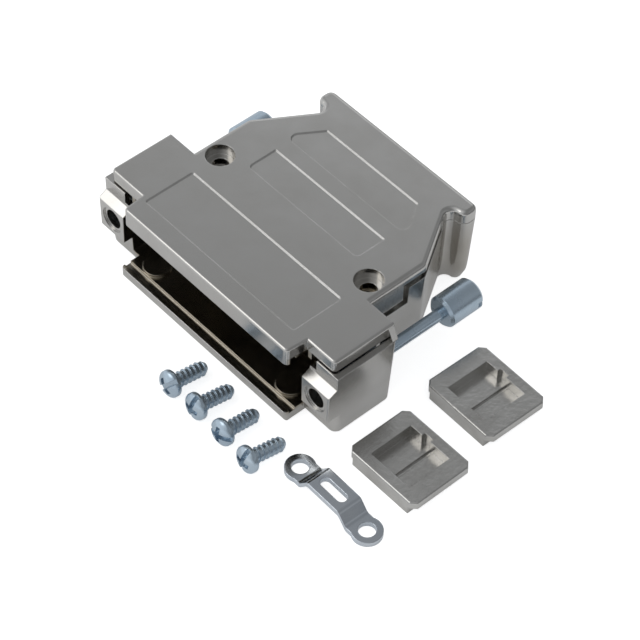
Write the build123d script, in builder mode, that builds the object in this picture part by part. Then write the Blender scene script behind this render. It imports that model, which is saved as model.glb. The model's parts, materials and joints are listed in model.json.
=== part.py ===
"""Die-cast metal hood for a 25-way D-sub connector, with the loose hardware of its kit.

Sizes are in millimetres. X runs across the hood, Y from the connector's end to the cable's end,
and Z up from the underside. The two shells are closed, the two jackscrews are drawn back, and
the four screws, the cable clamp and the two exit inserts lie on the same floor beside the hood.
"""
import os
from math import atan, cos, degrees, hypot, radians, tan

from build123d import *

os.makedirs("parts", exist_ok=True)

# Connector that the hood is made for
screw_pitch = 47.04
screw_axis_z = 7.75
flange_height = 12.5
flange_thickness = 1.05
flange_clearance = 0.1

# Outline that both shells share, as seen from above, with the places across it taken from the screws
socket_beside_axis = 2.82
body_inset = 0.5
bend_y = 24.7
bend_radius = 1.2
neck_half = 13.5
neck_y = 35.4
neck_radius = 1.2
wing_half = 16.8
wing_front_y = 36.0
wing_tip_radius = 1.4
rear_y = 39.0
rear_corner_radius = 1.2
lip_front_y = -2.2
lip_root_y = 1.6
lip_corner_radius = 0.6
seat_y = -0.3

# Lower shell, with its upper edges measured down from the underside of the upper shell
floor = 1.9
draft = 2.2
bottom_radius = 0.85
side_wall = 1.9
ear_beyond_axis = 3.23
ear_rear_y = 13.1
ear_toe_y = 1.5
ear_toe_radius = 1.4
ear_rear_radius = 0.9
ear_root_radius = 0.5
ear_drop = 0.3
ear_outer_wall = 1.1
ear_inner_wall = 0.8
ear_front_wall = 2.4
ear_rear_wall = 1.5
ear_inner_drop = 2.35
ear_boss_below_axis = 2.85
ear_boss_radius = 0.3
lower_lip_inset = 1.4
lower_lip_radius = 0.5
saddle_above_axis = 2.65
saddle_rise = 0.85
saddle_rear_y = 1.25
notch_width = 1.35
screw_port_d = 3.3
screw_ring_d = 4.5
screw_ring_depth = 0.3
side_wall_drop = 4.1
side_step_y = 21.4
rear_wall_drop = 0.65
wing_drop = 0.15
wing_seat_y = 33.0
tongue_wall = 0.9
tongue_gap = 0.2
tongue_drop = 1.75
pad_inset = 5.1
pad_y = 2.1
pad_r = 2.3
pad_height = 0.5

# Upper shell
lid_plate = 2.15
lid_ear_inset = 1.15
lid_ear_rear_y = 13.3
lid_ear_radius = 0.8
lid_edge_radius = 0.4
lid_side_radius = 0.8
lid_rim_width = 1.1
lid_rim_step = 0.7
lid_parting_chamfer = 0.1
lid_lip_inset_left = 2.8
lid_lip_inset_right = 1.35
lid_lip_flare = 0.45
lid_lip_radius = 0.8
lid_hook_drop = 1.15
lid_rib_drop = 0.75
skirt_drop = 2.55
skirt_rear_y = 20.2
skirt_wall = 1.2
leg_width = 0.75
leg_depth = 1.2
leg_drop = 1.45
leg_clearance = 0.1
prop_width = 2.15
prop_depth = 1.0
prop_gap = 0.05
prop_top_inset = 0.3
panel_depth = 0.22
panel_draft = 35
front_panel_half = 17.0
front_panel_y = (1.2, 10.7)
front_panel_radius = 0.5
middle_panel_half = 12.4
middle_panel_y = (17.8, 23.5)
middle_panel_radius = 0.9
rear_panel_halves = (14.1, 10.3)
rear_panel_y = (26.4, 32.3)
rear_panel_radius = 1.3

# Self-tapping screws, two for the case and two for the clamp
tap_thread_d = 2.5
tap_pilot_d = 2.1
tap_length = 6.3
tap_tip_d = 1.7
tap_tip_length = 0.8
tap_head_d = 4.4
tap_head_height = 1.7
tap_head_crown = 0.7
tap_slot_width = 0.75
tap_slot_depth = 0.8
tap_clearance = 0.1
case_screw_inset = 3.25
case_screw_y = 16.13
counterbore_depth = 2.0
counterbore_clearance = 0.15
case_seat = 1.6
case_boss_r = 2.2
case_boss_wall = 0.55
case_pilot_depth = 7.0

# Jackscrews
jack_thread_d = 2.84
jack_thread_length = 7.2
jack_thread_chamfer = 0.4
jack_shank_d = 1.95
jack_bearing_clearance = 0.06
jack_head_d = 5.3
jack_head_length = 6.7
jack_head_y = 25.1
jack_head_chamfer = 0.45
jack_slot_width = 0.9
jack_slot_depth = 1.3
jack_stop_gap = 0.3

# Cable exit, clamp strap and exit inserts
exit_r = 5.5
exit_axis_z = 8.0
exit_wall = 1.4
strap_pitch = 14.85
strap_y = 29.0
strap_eye_r = 2.4
strap_width = 4.3
strap_thickness = 0.9
strap_rise = 1.9
strap_crown_half = 3.5
strap_foot_half = 5.1
strap_bend_radius = 0.8
strap_slot_length = 5.2
strap_slot_width = 1.7
strap_boss_r = 2.3
strap_boss_top_z = 7.6
strap_pilot_depth = 5.2
insert_width = 14.2
insert_depth = 11.8
insert_height = 2.8
insert_plate = 1.3
insert_overhang = 1.2
insert_corner = 0.9
insert_edge_radius = 0.25
insert_pocket_width = 8.2
insert_pocket_length = 8.0
insert_pocket_depth = 2.0
insert_groove_width = 0.7
insert_groove_depth = 0.4
insert_notch_width = 1.7
insert_notch_depth = 0.6
insert_clearance = 0.15

# Places of the loose screws on the floor: x, distance before the lips, and turn about Z in degrees
tap_screw_places = {
    "case_screw_1": (4.0, 8.9, -0.5),
    "case_screw_2": (9.85, 8.75, -1.9),
    "clamp_screw_1": (16.1, 8.95, 1.0),
    "clamp_screw_2": (22.35, 9.5, -2.5),
}

# Places of the clamp and the inserts on the floor: distance beside the ears, y, and turn about Z
strap_place = (8.25, -6.65, -1.2)
insert_places = {
    "exit_insert_1": (10.95, 5.9, 0.0),
    "exit_insert_2": (9.35, 22.9, -1.0),
}

# Heights and planes that follow from the sizes above
slot_half = (flange_height + flange_clearance) / 2
lid_underside_z = screw_axis_z + slot_half
height = lid_underside_z + lid_plate
flange_slot_bottom_z = screw_axis_z - slot_half
flange_slot_front_y = seat_y - flange_thickness - flange_clearance
screw_x = screw_pitch / 2
socket_half = screw_x - socket_beside_axis
body_half = socket_half - body_inset
lower_lip_half = socket_half - lower_lip_inset
ear_half = screw_x + ear_beyond_axis
lid_ear_half = ear_half - lid_ear_inset
lid_lip_left = lid_lip_inset_left - socket_half
lid_lip_right = socket_half - lid_lip_inset_right
prop_inner_x = ear_half - prop_width
leg_x = socket_half - leg_clearance - leg_width / 2
pad_x = socket_half - pad_inset
case_screw_x = body_half - case_screw_inset
wing_top_z = lid_underside_z - wing_drop
ear_top_z = lid_underside_z - ear_drop
ear_inner_top_z = lid_underside_z - ear_inner_drop
side_wall_top_z = lid_underside_z - side_wall_drop
rear_wall_top_z = lid_underside_z - rear_wall_drop
tongue_top_z = lid_underside_z - tongue_drop
saddle_front_z = screw_axis_z + saddle_above_axis
ear_boss_bottom_z = screw_axis_z - ear_boss_below_axis
tongue_outer = body_half - skirt_wall - tongue_gap
tongue_inner = tongue_outer - tongue_wall
case_seat_z = height - counterbore_depth
case_joint_z = case_seat_z - case_seat
counterbore_r = tap_head_d / 2 + counterbore_clearance
case_hole_r = tap_thread_d / 2 + tap_clearance
ear_pocket_inner = socket_half + ear_inner_wall
ear_pocket_outer = ear_half - ear_outer_wall
ear_pocket_rear_y = ear_rear_y - ear_rear_wall
axis_draft = (ear_top_z - screw_axis_z) * tan(radians(draft))
jack_thread_rear_y = ear_pocket_rear_y - axis_draft - jack_stop_gap
jack_rear_y = jack_head_y + jack_head_length
exit_wall_y = rear_y - exit_wall
insert_slot_half = insert_width / 2 + insert_clearance
chamber_half = insert_slot_half - insert_overhang
chamber_floor_z = wing_top_z - insert_depth - insert_clearance
insert_slot_front_y = exit_wall_y - insert_plate - insert_clearance
toe_parting_y = ear_toe_y - wing_top_z * tan(radians(draft))
boss_parting_y = seat_y - (wing_top_z - ear_boss_bottom_z) * tan(radians(draft))
side_slope = (body_half - neck_half) / (neck_y - bend_y)
side_run = side_wall * hypot(1, side_slope)
inner_bend_y = bend_y + (body_half - side_run - tongue_inner) / side_slope
inner_neck_half = body_half - side_run - side_slope * (wing_seat_y - bend_y)
overcut = 1
above = height + overcut
tiny = 1e-3


def plan_corner(x, y):
    """Choose the vertices of a plan at (x, y) and at its mirror image."""
    return lambda v: abs(abs(v.X) - x) < tiny and abs(v.Y - y) < tiny


def falling_edge(x, y, z):
    """Choose the edges that run down from (x, y, z) and from its mirror image."""

    def starts_there(edge):
        top = max(edge.vertices(), key=lambda v: v.Z)
        falls = edge.bounding_box().size.Z > 1
        return falls and abs(abs(top.X) - x) < tiny and abs(top.Y - y) < tiny and abs(top.Z - z) < tiny

    return starts_there


# Lower shell: a drafted outer form, then its cavity, ears and bosses
with BuildPart() as bottom_shell:
    with BuildSketch(Plane.XY.offset(wing_top_z)):
        with BuildLine():
            Polyline(
                (0, toe_parting_y),
                (ear_half, toe_parting_y),
                (ear_half, ear_rear_y),
                (body_half, ear_rear_y),
                (body_half, bend_y),
                (neck_half, neck_y),
                (wing_half, wing_front_y),
                (wing_half, rear_y),
                (0, rear_y),
                close=True,
            )
        make_face()
        mirror(about=Plane.YZ)
    extrude(amount=-wing_top_z, taper=draft)
    outer_corners = (
        (ear_half, toe_parting_y, ear_toe_radius),
        (ear_half, ear_rear_y, ear_rear_radius),
        (body_half, ear_rear_y, ear_root_radius),
        (body_half, bend_y, bend_radius),
        (neck_half, neck_y, neck_radius),
        (wing_half, wing_front_y, wing_tip_radius),
        (wing_half, rear_y, rear_corner_radius),
    )
    for x, y, radius in outer_corners:
        fillet(bottom_shell.edges().filter_by(falling_edge(x, y, wing_top_z)), radius)
    fillet(bottom_shell.edges().group_by(Axis.Z)[0], bottom_radius)

    # Screw bosses that stand forward of the ears' toes and end in the connector's seat
    with BuildSketch(Plane.XY.offset(wing_top_z)):
        with Locations((0, (boss_parting_y + ear_pocket_rear_y) / 2)):
            Rectangle(2 * ear_half, ear_pocket_rear_y - boss_parting_y)
    extrude(amount=ear_boss_bottom_z - wing_top_z, taper=draft)
    with BuildSketch(Plane.XZ.offset(-seat_y)):
        Rectangle(3 * ear_half, 3 * height)
    extrude(amount=above, mode=Mode.SUBTRACT)
    fillet(bottom_shell.edges().filter_by(falling_edge(ear_half, seat_y, wing_top_z)), ear_boss_radius)

    # Cavity from the connector's socket to the cable chamber
    with BuildSketch(Plane.XY.offset(floor)):
        with BuildLine():
            Polyline(
                (0, lip_front_y - overcut),
                (socket_half, lip_front_y - overcut),
                (socket_half, ear_pocket_rear_y),
                (tongue_inner, ear_pocket_rear_y),
                (tongue_inner, inner_bend_y),
                (inner_neck_half, wing_seat_y),
                (0, wing_seat_y),
                close=True,
            )
        make_face()
        mirror(about=Plane.YZ)
    extrude(amount=above, mode=Mode.SUBTRACT)
    chamber_front_y = wing_seat_y - overcut
    with BuildSketch(Plane.XY.offset(chamber_floor_z)):
        with Locations((0, (chamber_front_y + exit_wall_y) / 2)):
            Rectangle(2 * chamber_half, exit_wall_y - chamber_front_y)
        with Locations((0, (insert_slot_front_y + exit_wall_y) / 2)):
            Rectangle(2 * insert_slot_half, exit_wall_y - insert_slot_front_y)
    extrude(amount=above, mode=Mode.SUBTRACT)
    with BuildSketch(Plane.XZ.offset(-rear_y - overcut)):
        with Locations((0, exit_axis_z)):
            Circle(exit_r)
        with Locations((0, exit_axis_z + above / 2)):
            Rectangle(2 * exit_r, above)
    extrude(amount=exit_wall + 2 * overcut, mode=Mode.SUBTRACT)

    # Bosses for the case screws and the clamp, before the side steps are cut
    with Locations((case_screw_x, case_screw_y, floor), (-case_screw_x, case_screw_y, floor)):
        Cylinder(case_boss_r, case_joint_z - floor, align=(Align.CENTER, Align.CENTER, Align.MIN))
    with Locations((strap_pitch / 2, strap_y, floor), (-strap_pitch / 2, strap_y, floor)):
        Cylinder(strap_boss_r, strap_boss_top_z - floor, align=(Align.CENTER, Align.CENTER, Align.MIN))
    with Locations((pad_x, pad_y, floor), (-pad_x, pad_y, floor)):
        Cylinder(pad_r, pad_height, align=(Align.CENTER, Align.CENTER, Align.MIN))

    # Heights of the walls: ears, side walls with their tongues, and the walls behind the step
    for side in (1, -1):
        with BuildSketch(Plane.XY.offset(ear_top_z)):
            with Locations((side * ear_half, 0)):
                Rectangle(2 * (ear_half - tongue_inner), 2 * ear_rear_y + tiny)
        extrude(amount=above, mode=Mode.SUBTRACT)
        with BuildSketch(Plane.XY.offset(side_wall_top_z)):
            with Locations((side * (tongue_outer + body_half), (ear_rear_y + side_step_y) / 2)):
                Rectangle(2 * body_half, side_step_y - ear_rear_y)
        extrude(amount=above, mode=Mode.SUBTRACT)
        with BuildSketch(Plane.XY.offset(tongue_top_z)):
            with Locations((side * (tongue_inner + tongue_outer) / 2, (ear_rear_y + side_step_y) / 2)):
                Rectangle(tongue_wall + tiny, side_step_y - ear_rear_y)
            with Locations((side * case_screw_x, case_screw_y)):
                Circle(case_boss_r, mode=Mode.SUBTRACT)
        extrude(amount=above, mode=Mode.SUBTRACT)
        with BuildSketch(Plane.XY.offset(case_joint_z)):
            with Locations((side * case_screw_x, case_screw_y)):
                Circle(counterbore_r + case_boss_wall)
        extrude(amount=above, mode=Mode.SUBTRACT)
    with BuildSketch(Plane.XY.offset(rear_wall_top_z)):
        with Locations((0, (side_step_y + wing_seat_y) / 2)):
            Rectangle(2 * ear_half, wing_seat_y - side_step_y)
    extrude(amount=above, mode=Mode.SUBTRACT)

    # Lower lip, with the groove that holds the connector's flange
    lip_rear_y = ear_toe_y + 2 * bottom_radius
    with BuildSketch() as lip_plan:
        with Locations((0, (lip_front_y + lip_rear_y) / 2)):
            Rectangle(2 * lower_lip_half, lip_rear_y - lip_front_y)
        fillet(lip_plan.vertices().filter_by(plan_corner(lower_lip_half, lip_front_y)), lip_corner_radius)
    extrude(amount=floor)
    with BuildSketch(Plane.YZ):
        with Locations((lip_front_y + lower_lip_radius / 2, lower_lip_radius / 2)):
            Rectangle(lower_lip_radius, lower_lip_radius)
        with Locations((lip_front_y + lower_lip_radius, lower_lip_radius)):
            Circle(lower_lip_radius, mode=Mode.SUBTRACT)
    extrude(amount=ear_half, both=True, mode=Mode.SUBTRACT)
    with BuildSketch(Plane.XY.offset(flange_slot_bottom_z)):
        with Locations((0, (flange_slot_front_y + seat_y) / 2)):
            Rectangle(2 * ear_half, seat_y - flange_slot_front_y)
    extrude(amount=floor, mode=Mode.SUBTRACT)

    # Ears: pocket, saddle over the port, notch, port with its ring recess, and bearing slot
    for side in (1, -1):
        with BuildSketch(Plane.XY.offset(ear_top_z)):
            with Locations(
                (side * (ear_pocket_inner + ear_pocket_outer) / 2, (ear_front_wall + ear_pocket_rear_y) / 2)
            ):
                Rectangle(ear_pocket_outer - ear_pocket_inner, ear_pocket_rear_y - ear_front_wall)
        extrude(amount=floor - ear_top_z, taper=draft, mode=Mode.SUBTRACT)
        with BuildSketch(Plane.YZ.offset(side * socket_half)):
            with BuildLine():
                Polyline(
                    (seat_y, saddle_front_z),
                    (saddle_rear_y, saddle_front_z + saddle_rise),
                    (saddle_rear_y, above),
                    (seat_y - overcut, above),
                    (seat_y - overcut, saddle_front_z),
                    close=True,
                )
            make_face()
        extrude(amount=side * (ear_half - socket_half + overcut), mode=Mode.SUBTRACT)
        with BuildSketch(Plane.XY.offset(ear_inner_top_z)):
            with Locations((side * (socket_half + notch_width / 2), ear_front_wall / 2)):
                Rectangle(notch_width, ear_front_wall + overcut)
            with Locations((side * (socket_half + ear_pocket_inner) / 2, ear_pocket_rear_y / 2)):
                Rectangle(ear_inner_wall + tiny, ear_pocket_rear_y)
        extrude(amount=above, mode=Mode.SUBTRACT)
        with BuildSketch(Plane.XZ.offset(overcut - seat_y)):
            with Locations((side * screw_x, screw_axis_z)):
                Circle(screw_port_d / 2)
        extrude(amount=-(ear_front_wall - seat_y + 2 * overcut), mode=Mode.SUBTRACT)
        with BuildSketch(Plane.XZ.offset(-seat_y)):
            with Locations((side * screw_x, screw_axis_z)):
                Circle(screw_ring_d / 2)
        extrude(amount=-screw_ring_depth, mode=Mode.SUBTRACT)
        bearing_r = jack_shank_d / 2 + jack_bearing_clearance
        with BuildSketch(Plane.XZ.offset(-ear_rear_y - overcut)):
            with Locations((side * screw_x, screw_axis_z)):
                Circle(bearing_r)
            with Locations((side * screw_x, screw_axis_z + above / 2)):
                Rectangle(2 * bearing_r, above)
        extrude(amount=ear_rear_wall + 2 * overcut, mode=Mode.SUBTRACT)

    # Pilot holes for the self-tapping screws
    with Locations((case_screw_x, case_screw_y, case_joint_z), (-case_screw_x, case_screw_y, case_joint_z)):
        Hole(tap_pilot_d / 2, case_pilot_depth)
    for x in (-strap_pitch / 2, strap_pitch / 2):
        with Locations((x, strap_y, strap_boss_top_z)):
            Hole(tap_pilot_d / 2, strap_pilot_depth)
bottom_shell.part.label = "bottom_shell"
export_step(bottom_shell.part, "parts/bottom_shell.step")

# Upper shell: a plate with rounded sides, then its ears, lip, skirts, panels and screw seats
with BuildPart() as top_shell:
    with BuildSketch(Plane.XY.offset(lid_underside_z)) as lid_plan:
        with BuildLine():
            Polyline(
                (0, lip_root_y),
                (body_half, lip_root_y),
                (body_half, bend_y),
                (neck_half, neck_y),
                (wing_half, wing_front_y),
                (wing_half, rear_y),
                (0, rear_y),
                close=True,
            )
        make_face()
        mirror(about=Plane.YZ)
        fillet(lid_plan.vertices().filter_by(plan_corner(body_half, bend_y)), bend_radius)
        fillet(lid_plan.vertices().filter_by(plan_corner(neck_half, neck_y)), neck_radius)
        fillet(lid_plan.vertices().filter_by(plan_corner(wing_half, wing_front_y)), wing_tip_radius)
        fillet(lid_plan.vertices().filter_by(plan_corner(wing_half, rear_y)), rear_corner_radius)
    extrude(amount=height - lid_underside_z)
    fillet(
        top_shell.edges().group_by(Axis.Z)[-1].filter_by(lambda e: e.center().Y > lip_root_y + tiny),
        lid_side_radius,
    )
    with BuildSketch(Plane.XY.offset(wing_top_z)):
        add(lid_plan.sketch)
        with Locations((0, rear_y)):
            Rectangle(2 * ear_half, 2 * (rear_y - wing_seat_y), mode=Mode.INTERSECT)
    extrude(amount=wing_drop)
    parting_edges = top_shell.edges().group_by(Axis.Z)[0]
    chamfer(parting_edges.filter_by(lambda e: e.center().Y > wing_seat_y + tiny), lid_parting_chamfer)
    with BuildSketch(Plane.XY.offset(lid_underside_z)):
        add(lid_plan.sketch)
        offset(lid_plan.sketch, amount=-lid_rim_width, mode=Mode.SUBTRACT)
        with Locations((0, (skirt_rear_y + wing_seat_y) / 2)):
            Rectangle(2 * ear_half, wing_seat_y - skirt_rear_y, mode=Mode.INTERSECT)
    extrude(amount=lid_rim_step, mode=Mode.SUBTRACT)

    # Ear plates and the front lip with its hook and rib for the connector's flange
    with BuildSketch(Plane.XY.offset(lid_underside_z)) as ear_plates:
        with Locations((0, (lip_root_y + lid_ear_rear_y) / 2)):
            Rectangle(2 * lid_ear_half, lid_ear_rear_y - lip_root_y)
        fillet(ear_plates.vertices().filter_by(plan_corner(lid_ear_half, lip_root_y)), lid_ear_radius)
    extrude(amount=height - lid_underside_z)
    with BuildSketch(Plane.XY.offset(lid_underside_z)) as lid_lip:
        with BuildLine():
            Polyline(
                (lid_lip_left, lip_front_y),
                (lid_lip_right, lip_front_y),
                (lid_lip_right + lid_lip_flare, lip_root_y + overcut),
                (lid_lip_left - lid_lip_flare, lip_root_y + overcut),
                close=True,
            )
        make_face()
        fillet(lid_lip.vertices().group_by(Axis.Y)[0], lid_lip_radius)
    extrude(amount=height - lid_underside_z)
    top_edges = top_shell.edges().group_by(Axis.Z)[-1]
    fillet(top_edges.filter_by(lambda e: abs(e.center().Y - lip_front_y) < tiny), lid_edge_radius)
    ear_edges = top_shell.edges().group_by(Axis.Z)[-1].filter_by(
        lambda e: abs(e.center().X) > body_half and e.center().Y < lid_ear_rear_y - tiny
    )
    fillet(ear_edges, lid_edge_radius)
    with BuildSketch(Plane.XY.offset(lid_underside_z)):
        add(lid_lip.sketch)
        with Locations((0, (lip_front_y + flange_slot_front_y) / 2)):
            Rectangle(2 * ear_half, flange_slot_front_y - lip_front_y, mode=Mode.INTERSECT)
    extrude(amount=-lid_hook_drop)
    with BuildSketch(Plane.XY.offset(lid_underside_z)):
        with Locations(((lid_lip_left + lid_lip_right) / 2, (seat_y + lip_root_y) / 2)):
            Rectangle(lid_lip_right - lid_lip_left, lip_root_y - seat_y)
    extrude(amount=-lid_rib_drop)

    # Skirts along the body, legs inside the ears, and props at the ears' rear corners
    for side in (1, -1):
        with BuildSketch(Plane.XY.offset(lid_underside_z)):
            with Locations((side * (body_half - skirt_wall / 2), (lid_ear_rear_y + skirt_rear_y) / 2)):
                Rectangle(skirt_wall, skirt_rear_y - lid_ear_rear_y)
        extrude(amount=-skirt_drop)
        with BuildSketch(Plane.XY.offset(lid_underside_z)):
            with Locations((side * leg_x, lip_root_y + leg_depth / 2)):
                Rectangle(leg_width, leg_depth)
        extrude(amount=-leg_drop)
        prop_top_z = height - prop_top_inset
        with BuildSketch(Plane.XZ.offset(-ear_rear_y)):
            with BuildLine():
                Polyline(
                    (side * prop_inner_x, ear_top_z + prop_gap),
                    (side * (ear_half - prop_gap), ear_top_z + prop_gap),
                    (side * lid_ear_half, prop_top_z),
                    (side * prop_inner_x, prop_top_z),
                    close=True,
                )
            make_face()
        extrude(amount=prop_depth)

    # Seats and counterbored holes of the case screws
    with Locations((case_screw_x, case_screw_y, case_joint_z), (-case_screw_x, case_screw_y, case_joint_z)):
        Cylinder(
            counterbore_r + case_boss_wall,
            lid_underside_z - case_joint_z,
            align=(Align.CENTER, Align.CENTER, Align.MIN),
        )
    with Locations((case_screw_x, case_screw_y, height), (-case_screw_x, case_screw_y, height)):
        CounterBoreHole(case_hole_r, counterbore_r, counterbore_depth, height - case_joint_z)

    # Recessed panels of the outer face
    with BuildSketch(Plane.XY.offset(height)):
        with Locations((0, sum(front_panel_y) / 2)):
            RectangleRounded(2 * front_panel_half, front_panel_y[1] - front_panel_y[0], front_panel_radius)
    extrude(amount=-panel_depth, taper=panel_draft, mode=Mode.SUBTRACT)
    with BuildSketch(Plane.XY.offset(height)) as middle_panel:
        with Locations((0, sum(middle_panel_y) / 2)):
            Rectangle(2 * middle_panel_half, middle_panel_y[1] - middle_panel_y[0])
        fillet(middle_panel.vertices().group_by(Axis.Y)[0], middle_panel_radius)
    extrude(amount=-panel_depth, taper=panel_draft, mode=Mode.SUBTRACT)
    with BuildSketch(Plane.XY.offset(height)) as rear_panel:
        with BuildLine():
            Polyline(
                (-rear_panel_halves[0], rear_panel_y[0]),
                (rear_panel_halves[0], rear_panel_y[0]),
                (rear_panel_halves[1], rear_panel_y[1]),
                (-rear_panel_halves[1], rear_panel_y[1]),
                close=True,
            )
        make_face()
        fillet(rear_panel.vertices().group_by(Axis.Y)[0], rear_panel_radius)
    extrude(amount=-panel_depth, taper=panel_draft, mode=Mode.SUBTRACT)
top_shell.part.label = "top_shell"
export_step(top_shell.part, "parts/top_shell.step")

# Jackscrew: thread, reduced shank and slotted head along Y, at the origin's height
with BuildPart() as jackscrew:
    with BuildSketch(Plane.XY):
        with BuildLine():
            Polyline(
                (0, jack_thread_rear_y - jack_thread_length),
                (jack_thread_d / 2 - jack_thread_chamfer, jack_thread_rear_y - jack_thread_length),
                (jack_thread_d / 2, jack_thread_rear_y - jack_thread_length + jack_thread_chamfer),
                (jack_thread_d / 2, jack_thread_rear_y),
                (jack_shank_d / 2, jack_thread_rear_y),
                (jack_shank_d / 2, jack_head_y),
                (jack_head_d / 2 - jack_head_chamfer, jack_head_y),
                (jack_head_d / 2, jack_head_y + jack_head_chamfer),
                (jack_head_d / 2, jack_rear_y - jack_head_chamfer),
                (jack_head_d / 2 - jack_head_chamfer, jack_rear_y),
                (0, jack_rear_y),
                close=True,
            )
        make_face()
    revolve(axis=Axis.Y)
    with BuildSketch(Plane.XZ.offset(-jack_rear_y)):
        Rectangle(jack_head_d + overcut, jack_slot_width)
    extrude(amount=jack_slot_depth, mode=Mode.SUBTRACT)
for name, x in (("jackscrew_left", -screw_x), ("jackscrew_right", screw_x)):
    placed = jackscrew.part.moved(Location((x, 0, screw_axis_z)))
    placed.label = name
    export_step(placed, f"parts/{name}.step")

# Self-tapping screw: its bearing face at the origin and its tip along Y
with BuildPart() as tap_screw:
    with BuildSketch(Plane.XY):
        with BuildLine():
            crown_start = (tap_head_d / 2, tap_head_crown - tap_head_height)
            crown_end = (0, -tap_head_height)
            crown_r = (tap_head_d**2 / 4 + tap_head_crown**2) / (2 * tap_head_crown)
            Polyline(
                crown_end,
                (0, tap_length),
                (tap_tip_d / 2, tap_length),
                (tap_thread_d / 2, tap_length - tap_tip_length),
                (tap_thread_d / 2, 0),
                (tap_head_d / 2, 0),
                crown_start,
            )
            RadiusArc(crown_start, crown_end, crown_r)
        make_face()
    revolve(axis=Axis.Y)
    with BuildSketch(Plane.XZ.offset(tap_head_height)):
        Rectangle(tap_head_d + overcut, tap_slot_width)
    extrude(amount=-tap_slot_depth, mode=Mode.SUBTRACT)
tap_tilt = degrees(atan((tap_head_d - tap_thread_d) / 2 / (tap_length - tap_tip_length)))
tap_height = tap_head_d / 2 * cos(radians(tap_tilt))
for name, (x, before, turn) in tap_screw_places.items():
    resting = Location((x, lip_front_y - before, tap_height), (0, 0, turn))
    placed = tap_screw.part.moved(resting * Location((0, 0, 0), (-tap_tilt, 0, 0)))
    placed.label = name
    export_step(placed, f"parts/{name}.step")

# Cable clamp: a bent strap with two eyes and a slotted crown
with BuildPart() as cable_clamp:
    strap_end = strap_pitch / 2 + strap_eye_r
    with BuildSketch(Plane.XZ) as strap_side:
        with BuildLine():
            Polyline(
                (-strap_end, 0),
                (-strap_foot_half, 0),
                (-strap_crown_half, strap_rise),
                (strap_crown_half, strap_rise),
                (strap_foot_half, 0),
                (strap_end, 0),
                (strap_end, strap_thickness),
                (strap_foot_half, strap_thickness),
                (strap_crown_half, strap_rise + strap_thickness),
                (-strap_crown_half, strap_rise + strap_thickness),
                (-strap_foot_half, strap_thickness),
                (-strap_end, strap_thickness),
                close=True,
            )
        make_face()
        bends = strap_side.vertices().filter_by(lambda v: abs(v.X) < strap_end - tiny)
        fillet(bends, strap_bend_radius)
    extrude(amount=strap_eye_r, both=True)
    with BuildSketch():
        with Locations((strap_pitch / 2, 0), (-strap_pitch / 2, 0)):
            Circle(strap_eye_r)
        Rectangle(strap_pitch, strap_width)
        with Locations((strap_pitch / 2, 0), (-strap_pitch / 2, 0)):
            Circle(case_hole_r, mode=Mode.SUBTRACT)
        SlotOverall(strap_slot_length, strap_slot_width, mode=Mode.SUBTRACT)
    extrude(amount=strap_rise + strap_thickness, mode=Mode.INTERSECT)
beside, y, turn = strap_place
placed = cable_clamp.part.moved(Location((ear_half + beside, y, 0), (0, 0, turn)))
placed.label = "cable_clamp"
export_step(placed, "parts/cable_clamp.step")

# Exit insert: a plate that slides in the slots beside the cable exit, on a narrower block
with BuildPart() as exit_insert:
    with BuildSketch() as insert_block:
        Rectangle(insert_width - 2 * insert_overhang, insert_depth)
    extrude(amount=insert_height - insert_plate)
    with BuildSketch(Plane.XY.offset(insert_height - insert_plate)) as insert_rim:
        Rectangle(insert_width, insert_depth)
        chamfer(insert_rim.vertices(), insert_corner)
    extrude(amount=insert_plate)
    fillet(exit_insert.edges().group_by(Axis.Z)[-1], insert_edge_radius)
    with BuildSketch(Plane.XY.offset(insert_height)):
        Rectangle(insert_pocket_width, insert_pocket_length)
        with Locations((-insert_notch_width / 2, (insert_pocket_length + insert_notch_depth) / 2)):
            Rectangle(insert_notch_width, insert_notch_depth)
    extrude(amount=-insert_pocket_depth, mode=Mode.SUBTRACT)
    with BuildSketch(Plane.XY.offset(insert_height - insert_pocket_depth)):
        with Locations((insert_groove_width / 2, 0)):
            Rectangle(insert_groove_width, insert_pocket_length)
    extrude(amount=-insert_groove_depth, mode=Mode.SUBTRACT)
for name, (beside, y, turn) in insert_places.items():
    placed = exit_insert.part.moved(Location((ear_half + beside, y, 0), (0, 0, turn)))
    placed.label = name
    export_step(placed, f"parts/{name}.step")
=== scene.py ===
"""Looks for the D-sub hood: camera, studio, metal finishes, and the screws with their threads.

Sizes are in mm where nothing else is said, and MM turns them into metres.
"""

import json
from math import atan, cos, pi, radians, sin

import bmesh
import bpy
from mathutils import Matrix, Vector


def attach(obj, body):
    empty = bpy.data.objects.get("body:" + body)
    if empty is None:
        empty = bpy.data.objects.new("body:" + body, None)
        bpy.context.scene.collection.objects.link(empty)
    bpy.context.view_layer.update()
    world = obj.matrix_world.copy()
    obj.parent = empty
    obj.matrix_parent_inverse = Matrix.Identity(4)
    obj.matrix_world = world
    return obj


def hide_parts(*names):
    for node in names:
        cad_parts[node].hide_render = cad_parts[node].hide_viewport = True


MM = 0.001
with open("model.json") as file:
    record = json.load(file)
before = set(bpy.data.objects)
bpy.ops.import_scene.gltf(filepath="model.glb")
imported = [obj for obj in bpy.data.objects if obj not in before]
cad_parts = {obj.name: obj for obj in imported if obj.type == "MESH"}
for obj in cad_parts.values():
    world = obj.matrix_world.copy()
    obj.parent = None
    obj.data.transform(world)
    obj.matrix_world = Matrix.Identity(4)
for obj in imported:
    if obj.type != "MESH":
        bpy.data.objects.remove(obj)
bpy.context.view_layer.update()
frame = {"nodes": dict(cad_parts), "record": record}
nodes = frame["nodes"]

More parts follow.
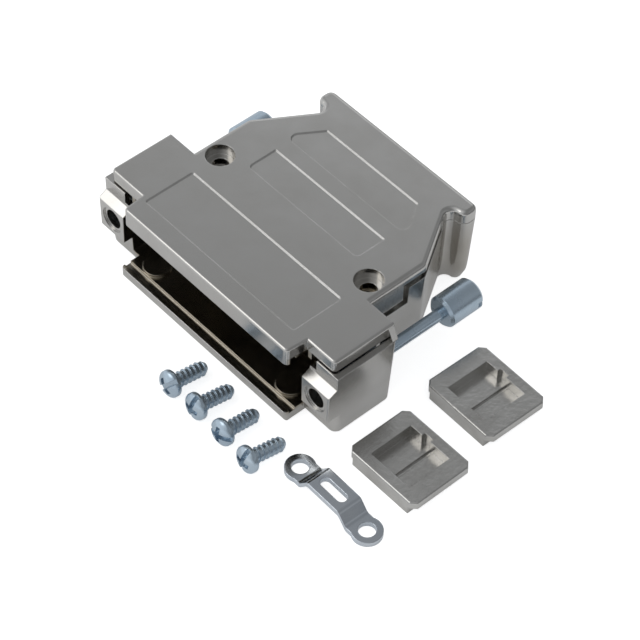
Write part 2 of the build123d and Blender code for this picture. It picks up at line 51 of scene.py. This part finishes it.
# Camera, fitted to the corners of the hood in the photograph: angles in degrees, the offset from
# the target to its right, up and back, and the clips in metres
CAMERA_AZIMUTH = 46.90
CAMERA_ELEVATION = 49.21
CAMERA_ROLL = 1.80
CAMERA_TARGET = (0.0, 15.8, 8.0)
CAMERA_OFFSET = (4.46, -10.06, 405.4)
CAMERA_LENS = 149.16
SENSOR_WIDTH = 36.0
CLIP_START = 0.02
CLIP_END = 20.0

# Self-tapping screws: the length and the radii of the thread and the head are those of their CAD nodes
TAP_LENGTH = 6.3
TAP_THREAD_R = 1.25
TAP_CORE_R = 1.03
TAP_PITCH = 0.86
TAP_RUN_OUT = 0.45
TAP_TIP_LENGTH = 0.8
TAP_TIP_R = 0.7
TAP_HEAD_R = 2.2
TAP_HEAD_HEIGHT = 1.7
TAP_HEAD_CROWN = 0.9
TAP_CROWN_STEPS = 10
TAP_RIM_ROUND = 0.12
TAP_SLOT_WIDTH = 0.8
TAP_SLOT_DEPTH = 1.15
TAP_CROSS_LENGTH = 2.6
# For each its place on the floor, and the degrees that it is turned there and about its own axis
TAP_PLACES = {
    "case_screw_1": (4.0, -11.1, -0.5, -50),
    "case_screw_2": (9.85, -10.95, -1.9, -86),
    "clamp_screw_1": (16.1, -11.15, 1.0, -8),
    "clamp_screw_2": (22.35, -11.7, -2.5, -84),
}

# Jackscrews: the sizes and places of their CAD nodes
JACK_X = 23.52
JACK_Z = 7.75
JACK_TIP_Y = 3.87
JACK_THREAD_LENGTH = 7.2
JACK_THREAD_R = 1.42
JACK_CORE_R = 1.08
JACK_PITCH = 0.635
JACK_RUN_OUT = 0.5
JACK_TIP_LENGTH = 0.4
JACK_TIP_R = 1.02
JACK_SHANK_R = 0.975
JACK_SHANK_STEP = 0.1
JACK_HEAD_R = 2.65
JACK_HEAD_Y = 25.1
JACK_HEAD_LENGTH = 6.7
JACK_CHAMFER = 0.45
JACK_SLOT_WIDTH = 0.9
JACK_SLOT_DEPTH = 1.3

# Every screw: corners of a turn, the angle in degrees that shading keeps sharp, how far a slot's
# cutter stands past the head, and the distance within which points are welded
TURN_SIDES = 40
SHARP_ANGLE = 38
SLOT_SPARE = 1.0
WELD_DISTANCE = 1e-4
# Turns past a thread's whole ones: one before its start, one for the rest at its tip, and one to close on
SPARE_TURNS = 3
# Rows of one turn: where each lies in the pitch, and how high it stands from core to crest
TAPPING_ROWS = ((0.0, 0.0), (0.34, 0.04), (0.47, 1.0), (0.54, 1.0), (0.68, 0.04))
MACHINE_ROWS = ((0.0, 0.0), (0.14, 0.0), (0.45, 1.0), (0.56, 1.0), (0.87, 0.0))
# How far in from a corner the middle of its rounding lies, as a share of the rounding's radius
ROUND_MIDDLE = 0.3

# Every metal: the span of a noise that counts, its scale and detail, and how far gloss varies
NOISE_SPAN = (0.3, 0.7)
CLOUD_SCALE = 160.0
CLOUD_DETAIL = 3.0
GRAIN_DETAIL = 4.0
GLOSS_SPREAD = 0.03
EDGE_SAMPLES = 6

# Where the shells' colour is painted darker and browner, as boxes with middle, half size, softness and
# strength: the connector's space and the wiring space, for thin plating and painted shade, and the corners by
# the wings, for painted shade alone
THIN_PLATING_AND_SHADE = (0.3, 0.255, 0.18, 1)
SHELL_PLATING_AND_SHADE_BOXES = (
    ((0.0, 4.8, 7.75), (20.9, 7.0, 6.6), 0.6, 0.7),
    ((0.0, 18.2, 7.75), (17.3, 6.9, 6.6), 0.6, 0.7),
    ((18.5, 33.0, 6.6), (7.0, 8.0, 8.0), 5.0, 0.4),
    ((-18.5, 33.0, 6.6), (7.0, 8.0, 8.0), 5.0, 0.4),
)

# The look of each material slot's metal
METAL_LOOKS = {
    "shell_metal": {
        "name": "satin_nickel_cast",
        "colour": (0.565, 0.556, 0.538, 1),
        "stain": (0.505, 0.495, 0.475, 1),
        "roughness": 0.21,
        "grain_scale": 5200.0,
        "grain_depth": 0.003,
        "edge_round": 0.18,
        # boxes where the shells' colour is painted darker and browner: painted shade, and thin plating in the
        # hollows
        "plating_and_shade_boxes": SHELL_PLATING_AND_SHADE_BOXES,
    },
    "insert_metal": {
        "name": "bright_nickel_cast",
        "colour": (0.6, 0.592, 0.572, 1),
        "stain": (0.45, 0.44, 0.42, 1),
        "roughness": 0.25,
        "grain_scale": 1300.0,
        "grain_depth": 0.04,
        "edge_round": 0.16,
    },
    "zinc_steel": {
        "name": "blue_zinc_steel",
        "colour": (0.53, 0.625, 0.705, 1),
        "stain": (0.43, 0.53, 0.625, 1),
        "roughness": 0.26,
        "grain_scale": 2400.0,
        "grain_depth": 0.008,
        "edge_round": 0.1,
        "metallic": 0.82,
    },
    "clamp_steel": {
        "name": "bright_stamped_steel",
        "colour": (0.68, 0.72, 0.765, 1),
        "stain": (0.57, 0.62, 0.68, 1),
        "roughness": 0.13,
        "grain_scale": 3200.0,
        "grain_depth": 0.003,
        "edge_round": 0.2,
    },
}

# Floor, with its side in metres: its own colour, its white glow, and the share of that glow in metal
FLOOR_SIZE = 6.0
FLOOR_COLOUR = (0.8, 0.8, 0.8, 1)
WHITE = (1, 1, 1, 1)
FLOOR_GLOW = 0.75
MIRRORED_GLOW = 0.25

# Room: the light on matt surfaces, and what metal mirrors. The ceiling's shades go from away from a
# bright side or a screen to straight at it. The walls fade out between two heights.
ROOM_TINT = (0.955, 0.975, 1.0, 1)
ROOM_LIGHT = 0.6
BRIGHT_SIDE = (-0.49, -0.59, 0.64)
CEILING_SHADES = ((0.0, 0.3), (0.2, 0.26), (0.46, 0.3), (0.9, 0.8), (1.0, 0.9))
SCREEN_SIDE = (-0.6, 0.7, 0.38)
SCREEN_SHADES = ((0.0, 0.0), (0.8, 0.04), (0.87, 0.2), (0.96, 0.8), (1.0, 1.0))
WALL_FADE = (0.16, 0.42)
WALL_SIDE = (-0.64, -0.77, 0.0)
WALL_REACH = (-0.6, 0.6)
WALL_SHADES = (0.16, 1.0)

# Key lamp: angles in degrees, distance and side in metres, power in watts
KEY_AZIMUTH = -38
KEY_ELEVATION = 48
KEY_DISTANCE = 0.36
KEY_SIDE = 0.2
KEY_POWER = 0.17
KEY_TINT = (1.0, 0.975, 0.94)

# Bounces that the mirrors need, and the brightness at which a stray bounce is cut
MAX_BOUNCES = 16
GLOSSY_BOUNCES = 12
BOUNCE_LIMIT = 2.5


def fill(tree, socket, value):
    """Link a node's output to a socket, or write a plain value in it."""
    if isinstance(value, bpy.types.NodeSocket):
        tree.links.new(value, socket)
    else:
        socket.default_value = value


def shader_node(tree, kind, **sockets):
    """Add a node and fill its sockets, whose names are given with _ for a space."""
    made = tree.nodes.new(kind)
    for name, value in sockets.items():
        fill(tree, made.inputs[name.replace("_", " ")], value)
    return made


def math_node(tree, kind, operation, *values):
    """Add a math node and fill its sockets in their order."""
    made = tree.nodes.new(kind)
    made.operation = operation
    for socket, value in zip(made.inputs, values):
        fill(tree, socket, value)
    return made


def math_value(tree, operation, *values):
    """Work out a number from numbers."""
    return math_node(tree, "ShaderNodeMath", operation, *values).outputs["Value"]


def math_vector(tree, operation, *values):
    """Work out a vector from vectors."""
    return math_node(tree, "ShaderNodeVectorMath", operation, *values).outputs["Vector"]


def nearness(tree, way, centre):
    """How near a direction is to a centre: 1 is straight at it, and 0 is square to it."""
    return math_node(tree, "ShaderNodeVectorMath", "DOT_PRODUCT", way, centre).outputs["Value"]


def mapped(tree, value, span, new_span):
    """Map a factor from one span to another, and hold it there."""
    made = shader_node(
        tree, "ShaderNodeMapRange",
        Value=value, From_Min=span[0], From_Max=span[1], To_Min=new_span[0], To_Max=new_span[1],
    )
    return made.outputs["Result"]


def mixed(tree, factor, first, second):
    """Mix two numbers by a factor."""
    return shader_node(tree, "ShaderNodeMix", Factor=factor, A=first, B=second).outputs["Result"]


def mixed_colour(tree, factor, first, second):
    """Mix two colours by a factor."""
    made = shader_node(tree, "ShaderNodeMix", Factor=factor)
    made.data_type = "RGBA"
    colours = [socket for socket in made.inputs if socket.type == "RGBA"]
    fill(tree, colours[0], first)
    fill(tree, colours[1], second)
    return next(socket for socket in made.outputs if socket.type == "RGBA")


def empty_tree(owner):
    """Give a material or the world a node tree with nothing in it."""
    owner.use_nodes = True
    owner.node_tree.nodes.clear()
    return owner.node_tree


def inside_boxes(tree, place, boxes):
    """A factor that rises to a box's strength inside it, and fades out over its softness."""
    total = 0.0
    for middle, half, softness, strength in boxes:
        distance = math_vector(tree, "ABSOLUTE", math_vector(tree, "SUBTRACT", place, Vector(middle) * MM))
        parts = shader_node(tree, "ShaderNodeSeparateXYZ", Vector=distance)
        factor = strength
        for axis, limit in zip("XYZ", half):
            fade = ((limit - softness) * MM, limit * MM)
            factor = math_value(tree, "MULTIPLY", factor, mapped(tree, parts.outputs[axis], fade, (1.0, 0.0)))
        total = math_value(tree, "MAXIMUM", total, factor)
    return total


def plated_metal(
    name, colour, stain, roughness, grain_scale, grain_depth, edge_round, metallic=1.0, plating_and_shade_boxes=()
):
    """A plated metal: grain in its surface, cloudiness in its colour and gloss, and rounded edges.

    In the boxes given, the colour is painted darker and browner: painted shade, and thin plating in the
    hollows.
    """
    material = bpy.data.materials.new(name)
    tree = empty_tree(material)
    place = tree.nodes.new("ShaderNodeTexCoord").outputs["Object"]
    clouds = shader_node(tree, "ShaderNodeTexNoise", Vector=place, Scale=CLOUD_SCALE, Detail=CLOUD_DETAIL)
    cloud = clouds.outputs["Fac"]
    specks = shader_node(tree, "ShaderNodeTexNoise", Vector=place, Scale=grain_scale, Detail=GRAIN_DETAIL)
    shade = mixed_colour(tree, mapped(tree, cloud, NOISE_SPAN, (0.0, 1.0)), colour, stain)
    if plating_and_shade_boxes:
        # painted shade: inside the boxes the colour is mixed towards a darker brown, which stands in for
        # shade and, in the hollows, for thin plating
        shade = mixed_colour(tree, inside_boxes(tree, place, plating_and_shade_boxes), shade, THIN_PLATING_AND_SHADE)
    gloss = mapped(tree, cloud, NOISE_SPAN, (roughness - GLOSS_SPREAD, roughness + GLOSS_SPREAD))
    edges = shader_node(tree, "ShaderNodeBevel", Radius=edge_round * MM)
    edges.samples = EDGE_SAMPLES
    bump = shader_node(
        tree, "ShaderNodeBump",
        Strength=1.0, Distance=grain_depth * MM, Height=specks.outputs["Fac"], Normal=edges.outputs["Normal"],
    )
    shader = shader_node(
        tree, "ShaderNodeBsdfPrincipled",
        Base_Color=shade, Roughness=gloss, Metallic=metallic, Normal=bump.outputs["Normal"],
    )
    shader_node(tree, "ShaderNodeOutputMaterial", Surface=shader.outputs["BSDF"])
    return material


metals = {slot: plated_metal(**look) for slot, look in METAL_LOOKS.items()}
slots = {row["node"]: row["material_slot"] for row in frame["record"]["subparts"]}
for name, obj in nodes.items():
    obj.data.materials.clear()
    obj.data.materials.append(metals[slots[name]])


def add_object(name, data):
    """Put new data into the scene as an object."""
    obj = bpy.data.objects.new(name, data)
    bpy.context.scene.collection.objects.link(obj)
    return obj


def add_lathe(bm, outline):
    """Turn an outline of (y, radius) points about the Y axis. A radius of 0 closes the end."""
    rings = []
    for y, radius in outline:
        if radius == 0:
            rings.append([bm.verts.new((0, y, 0))] * TURN_SIDES)
            continue
        turns = [2 * pi * i / TURN_SIDES for i in range(TURN_SIDES)]
        rings.append([bm.verts.new((radius * cos(a), y, radius * sin(a))) for a in turns])
    for low, high in zip(rings, rings[1:]):
        for i in range(TURN_SIDES):
            corners = (low[i], low[i - 1], high[i - 1], high[i])
            bm.faces.new(list(dict.fromkeys(corners)))


def add_thread(bm, rows, length, pitch, core_r, crest_r, tip_length, tip_r, run_out):
    """A helical thread about the Y axis from y = 0, where its core is bare, to its tapered tip."""
    count = int(length / pitch) + SPARE_TURNS

    def corner(row, i):
        turn, part = divmod(row, len(rows))
        phase, height = rows[part]
        y = min(max((turn - 1 + phase + i / TURN_SIDES) * pitch, 0.0), length)
        crest = crest_r - (crest_r - tip_r) * max(0.0, y - length + tip_length) / tip_length
        core = min(core_r, crest)
        radius = core + (crest - core) * height * min(1.0, y / run_out)
        a = 2 * pi * i / TURN_SIDES
        return radius * cos(a), y, radius * sin(a)

    total = count * len(rows)
    grid = [[bm.verts.new(corner(row, i)) for i in range(TURN_SIDES)] for row in range(total)]
    for row in range(total - len(rows) - 1):
        for i in range(TURN_SIDES):
            if i + 1 < TURN_SIDES:
                after = (grid[row][i + 1], grid[row + 1][i + 1])
            else:
                after = (grid[row + len(rows)][0], grid[row + len(rows) + 1][0])
            bm.faces.new((grid[row][i], after[0], after[1], grid[row + 1][i]))


def finish_mesh(name, bm, material):
    """Weld a lathe and its thread into one closed mesh, in metres."""
    bmesh.ops.remove_doubles(bm, verts=bm.verts, dist=WELD_DISTANCE)
    bmesh.ops.dissolve_degenerate(bm, edges=bm.edges, dist=WELD_DISTANCE)
    loose = [v for v in bm.verts if not v.link_faces]
    bmesh.ops.delete(bm, geom=loose, context="VERTS")
    bmesh.ops.recalc_face_normals(bm, faces=bm.faces)
    bmesh.ops.scale(bm, vec=(MM, MM, MM), verts=bm.verts)
    mesh = bpy.data.meshes.new(name)
    bm.to_mesh(mesh)
    bm.free()
    mesh.materials.append(material)
    return add_object(name, mesh)


def cut_slot(obj, width_x, width_z, y_from, y_to):
    """Cut a driver slot into a head, from one height on its axis to another."""
    bm = bmesh.new()
    bmesh.ops.create_cube(bm, size=1.0)
    size = (width_x * MM, (y_to - y_from) * MM, width_z * MM)
    bmesh.ops.scale(bm, vec=size, verts=bm.verts)
    bmesh.ops.translate(bm, vec=(0, (y_from + y_to) / 2 * MM, 0), verts=bm.verts)
    mesh = bpy.data.meshes.new("cutter")
    bm.to_mesh(mesh)
    bm.free()
    cutter = add_object("cutter", mesh)
    step = obj.modifiers.new("slot", "BOOLEAN")
    step.operation = "DIFFERENCE"
    step.object = cutter
    step.solver = "EXACT"
    bpy.context.view_layer.update()
    shaped = obj.evaluated_get(bpy.context.evaluated_depsgraph_get())
    result = bpy.data.meshes.new_from_object(shaped)
    obj.modifiers.clear()
    result.name = obj.data.name
    obj.data = result
    bpy.data.objects.remove(cutter)
    bpy.data.meshes.remove(mesh)


def soften(obj):
    """Shade an object smooth, apart from its sharp edges."""
    obj.data.shade_smooth()
    obj.data.set_sharp_from_angle(angle=radians(SHARP_ANGLE))


def tap_head_outline():
    """The domed head from the middle of its crown to the thread, with a rounded rim."""
    crown_r = (TAP_HEAD_R**2 + TAP_HEAD_CROWN**2) / (2 * TAP_HEAD_CROWN)
    outline = []
    for i in range(TAP_CROWN_STEPS + 1):
        radius = (TAP_HEAD_R - TAP_RIM_ROUND) * i / TAP_CROWN_STEPS
        drop = crown_r - (crown_r**2 - radius**2) ** 0.5
        outline.append((drop - TAP_HEAD_HEIGHT, radius))
    side_y = TAP_HEAD_CROWN - TAP_HEAD_HEIGHT
    inset = ROUND_MIDDLE * TAP_RIM_ROUND
    outline += [
        (side_y + inset, TAP_HEAD_R - inset),
        (side_y + TAP_RIM_ROUND, TAP_HEAD_R),
        (-TAP_RIM_ROUND, TAP_HEAD_R),
        (-inset, TAP_HEAD_R - inset),
        (0.0, TAP_HEAD_R - TAP_RIM_ROUND),
        (0.0, TAP_CORE_R),
    ]
    return outline


def make_tap_screw():
    """A self-tapping screw with a coarse thread, and a domed head with a slot and a short cross."""
    bm = bmesh.new()
    add_lathe(bm, tap_head_outline())
    add_thread(
        bm, TAPPING_ROWS, TAP_LENGTH, TAP_PITCH, core_r=TAP_CORE_R, crest_r=TAP_THREAD_R,
        tip_length=TAP_TIP_LENGTH, tip_r=TAP_TIP_R, run_out=TAP_RUN_OUT,
    )
    add_lathe(bm, [(TAP_LENGTH, TAP_TIP_R), (TAP_LENGTH, 0)])
    screw = finish_mesh("tap_screw", bm, metals["zinc_steel"])
    slot_floor = TAP_SLOT_DEPTH - TAP_HEAD_HEIGHT
    above = -TAP_HEAD_HEIGHT - SLOT_SPARE
    cut_slot(screw, 2 * TAP_HEAD_R + SLOT_SPARE, TAP_SLOT_WIDTH, above, slot_floor)
    cut_slot(screw, TAP_SLOT_WIDTH, TAP_CROSS_LENGTH, above, slot_floor)
    soften(screw)
    return screw


# The self-tapping screws are copies of one, and lean, because they lie on the head's rim and the thread
tap_screw = make_tap_screw()
tilt = atan((TAP_HEAD_R - TAP_THREAD_R) / (TAP_LENGTH - TAP_TIP_LENGTH))
lift = TAP_HEAD_R * cos(tilt)
for name, (x, y, turn, roll) in TAP_PLACES.items():
    piece = add_object("threaded_" + name, tap_screw.data.copy())
    piece.data.transform(
        Matrix.Translation(Vector((x, y, lift)) * MM)
        @ Matrix.Rotation(radians(turn), 4, "Z")
        @ Matrix.Rotation(-tilt, 4, "X")
        @ Matrix.Rotation(radians(roll), 4, "Y")
    )
    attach(piece, "hood")
    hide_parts(name)
bpy.data.objects.remove(tap_screw)


def make_jackscrew(name):
    """A jackscrew from its tip on: fine thread, smooth reduced shank, slotted head with chamfers."""
    bm = bmesh.new()
    add_thread(
        bm, MACHINE_ROWS, JACK_THREAD_LENGTH, JACK_PITCH, core_r=JACK_CORE_R, crest_r=JACK_THREAD_R,
        tip_length=JACK_TIP_LENGTH, tip_r=JACK_TIP_R, run_out=JACK_RUN_OUT,
    )
    add_lathe(bm, [(JACK_THREAD_LENGTH, JACK_TIP_R), (JACK_THREAD_LENGTH, 0)])
    bmesh.ops.scale(bm, vec=(1, -1, 1), verts=bm.verts)
    bmesh.ops.translate(bm, vec=(0, JACK_THREAD_LENGTH, 0), verts=bm.verts)
    head_front = JACK_HEAD_Y - JACK_TIP_Y
    head_rear = JACK_HEAD_Y + JACK_HEAD_LENGTH - JACK_TIP_Y
    outline = [
        (JACK_THREAD_LENGTH, JACK_CORE_R),
        (JACK_THREAD_LENGTH + JACK_SHANK_STEP, JACK_SHANK_R),
        (head_front, JACK_SHANK_R),
        (head_front, JACK_HEAD_R - JACK_CHAMFER),
        (head_front + JACK_CHAMFER, JACK_HEAD_R),
        (head_rear - JACK_CHAMFER, JACK_HEAD_R),
        (head_rear, JACK_HEAD_R - JACK_CHAMFER),
        (head_rear, 0),
    ]
    add_lathe(bm, outline)
    screw = finish_mesh("threaded_" + name, bm, metals["zinc_steel"])
    slot_floor = head_rear - JACK_SLOT_DEPTH
    cut_slot(screw, 2 * JACK_HEAD_R + SLOT_SPARE, JACK_SLOT_WIDTH, slot_floor, head_rear + SLOT_SPARE)
    soften(screw)
    return screw


for side, name in ((-1, "jackscrew_left"), (1, "jackscrew_right")):
    piece = make_jackscrew(name)
    piece.data.transform(Matrix.Translation(Vector((side * JACK_X, JACK_TIP_Y, JACK_Z)) * MM))
    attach(piece, name)
    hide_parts(name)


def floor_paper():
    """Pale paper that is white to the camera, glows less in metal, and keeps the object's shadow."""
    material = bpy.data.materials.new("floor_paper")
    tree = empty_tree(material)
    rays = tree.nodes.new("ShaderNodeLightPath").outputs
    seen = math_value(tree, "MAXIMUM", rays["Is Camera Ray"], rays["Is Transmission Ray"])
    share = math_value(tree, "MULTIPLY_ADD", rays["Is Glossy Ray"], MIRRORED_GLOW, seen)
    glow = math_value(tree, "MULTIPLY", share, FLOOR_GLOW)
    matt = shader_node(tree, "ShaderNodeBsdfDiffuse", Color=FLOOR_COLOUR)
    light = shader_node(tree, "ShaderNodeEmission", Color=WHITE, Strength=glow)
    both = tree.nodes.new("ShaderNodeAddShader")
    fill(tree, both.inputs[0], matt.outputs["BSDF"])
    fill(tree, both.inputs[1], light.outputs["Emission"])
    shader_node(tree, "ShaderNodeOutputMaterial", Surface=both.outputs["Shader"])
    return material


bpy.ops.mesh.primitive_plane_add(size=FLOOR_SIZE, location=(0, 0, 0))
floor = bpy.context.object
floor.name = "floor"
floor.data.materials.append(floor_paper())


def room_shade(tree, way, centre, shades):
    """The ceiling's shade by how near a direction is to a centre."""
    graph = shader_node(tree, "ShaderNodeFloatCurve", Value=nearness(tree, way, Vector(centre).normalized()))
    curve = graph.mapping.curves[0]
    curve.points[0].location = shades[0]
    curve.points[-1].location = shades[-1]
    for place, shade in shades[1:-1]:
        curve.points.new(place, shade)
    for point in curve.points:
        point.handle_type = "VECTOR"
    graph.mapping.update()
    return graph.outputs["Value"]


def studio_world():
    """White behind the object, an even light on matt surfaces, and a room that metal mirrors.

    The room's walls and ceiling are bright towards the key light and dark away from it.
    """
    world = bpy.data.worlds.new("studio")
    world.cycles.sampling_method = "NONE"
    tree = empty_tree(world)
    way = tree.nodes.new("ShaderNodeTexCoord").outputs["Generated"]
    bright_side = room_shade(tree, way, BRIGHT_SIDE, CEILING_SHADES)
    screen = room_shade(tree, way, SCREEN_SIDE, SCREEN_SHADES)
    ceiling = math_value(tree, "MAXIMUM", bright_side, screen)
    height = shader_node(tree, "ShaderNodeSeparateXYZ", Vector=way).outputs["Z"]
    on_wall = mapped(tree, height, WALL_FADE, (1.0, 0.0))
    wall = mapped(tree, nearness(tree, way, WALL_SIDE), WALL_REACH, WALL_SHADES)
    mirrored = mixed(tree, on_wall, ceiling, wall)
    rays = tree.nodes.new("ShaderNodeLightPath").outputs
    room = mixed(tree, rays["Is Glossy Ray"], ROOM_LIGHT, mirrored)
    shown = mixed(tree, rays["Is Camera Ray"], room, 1.0)
    studio = shader_node(tree, "ShaderNodeBackground", Color=ROOM_TINT, Strength=shown)
    shader_node(tree, "ShaderNodeOutputWorld", Surface=studio.outputs["Background"])
    return world


bpy.context.scene.world = studio_world()


def direction(azimuth, elevation):
    """The way from the hood to a place round it; azimuth 0 stands at the connector's end."""
    a, e = radians(azimuth), radians(elevation)
    return Vector((sin(a) * cos(e), -cos(a) * cos(e), sin(e)))


# Key lamp: a square one that looks at the hood
target = Vector(CAMERA_TARGET) * MM
key_way = direction(KEY_AZIMUTH, KEY_ELEVATION)
lamp = bpy.data.lights.new("key", "AREA")
lamp.shape = "SQUARE"
lamp.size = KEY_SIDE
lamp.energy = KEY_POWER
lamp.color = KEY_TINT
key = add_object("key", lamp)
key.location = target + key_way * KEY_DISTANCE
key.rotation_euler = key_way.to_track_quat("Z", "Y").to_euler()

# Camera
azimuth, roll = radians(CAMERA_AZIMUTH), radians(CAMERA_ROLL)
back = direction(CAMERA_AZIMUTH, CAMERA_ELEVATION)
level = Vector((cos(azimuth), sin(azimuth), 0))
upright = back.cross(level)
right = cos(roll) * level + sin(roll) * upright
up = cos(roll) * upright - sin(roll) * level
turn = Matrix((right, up, back)).transposed()
camera_data = bpy.data.cameras.new("camera")
camera_data.lens = CAMERA_LENS
camera_data.sensor_width = SENSOR_WIDTH
camera_data.clip_start = CLIP_START
camera_data.clip_end = CLIP_END
camera = add_object("camera", camera_data)
camera.matrix_world = Matrix.Translation(target + turn @ (Vector(CAMERA_OFFSET) * MM)) @ turn.to_4x4()
bpy.context.scene.camera = camera
bpy.context.scene.view_settings.view_transform = "Standard"
bpy.context.scene.cycles.max_bounces = MAX_BOUNCES
bpy.context.scene.cycles.glossy_bounces = GLOSSY_BOUNCES
bpy.context.scene.cycles.sample_clamp_indirect = BOUNCE_LIMIT
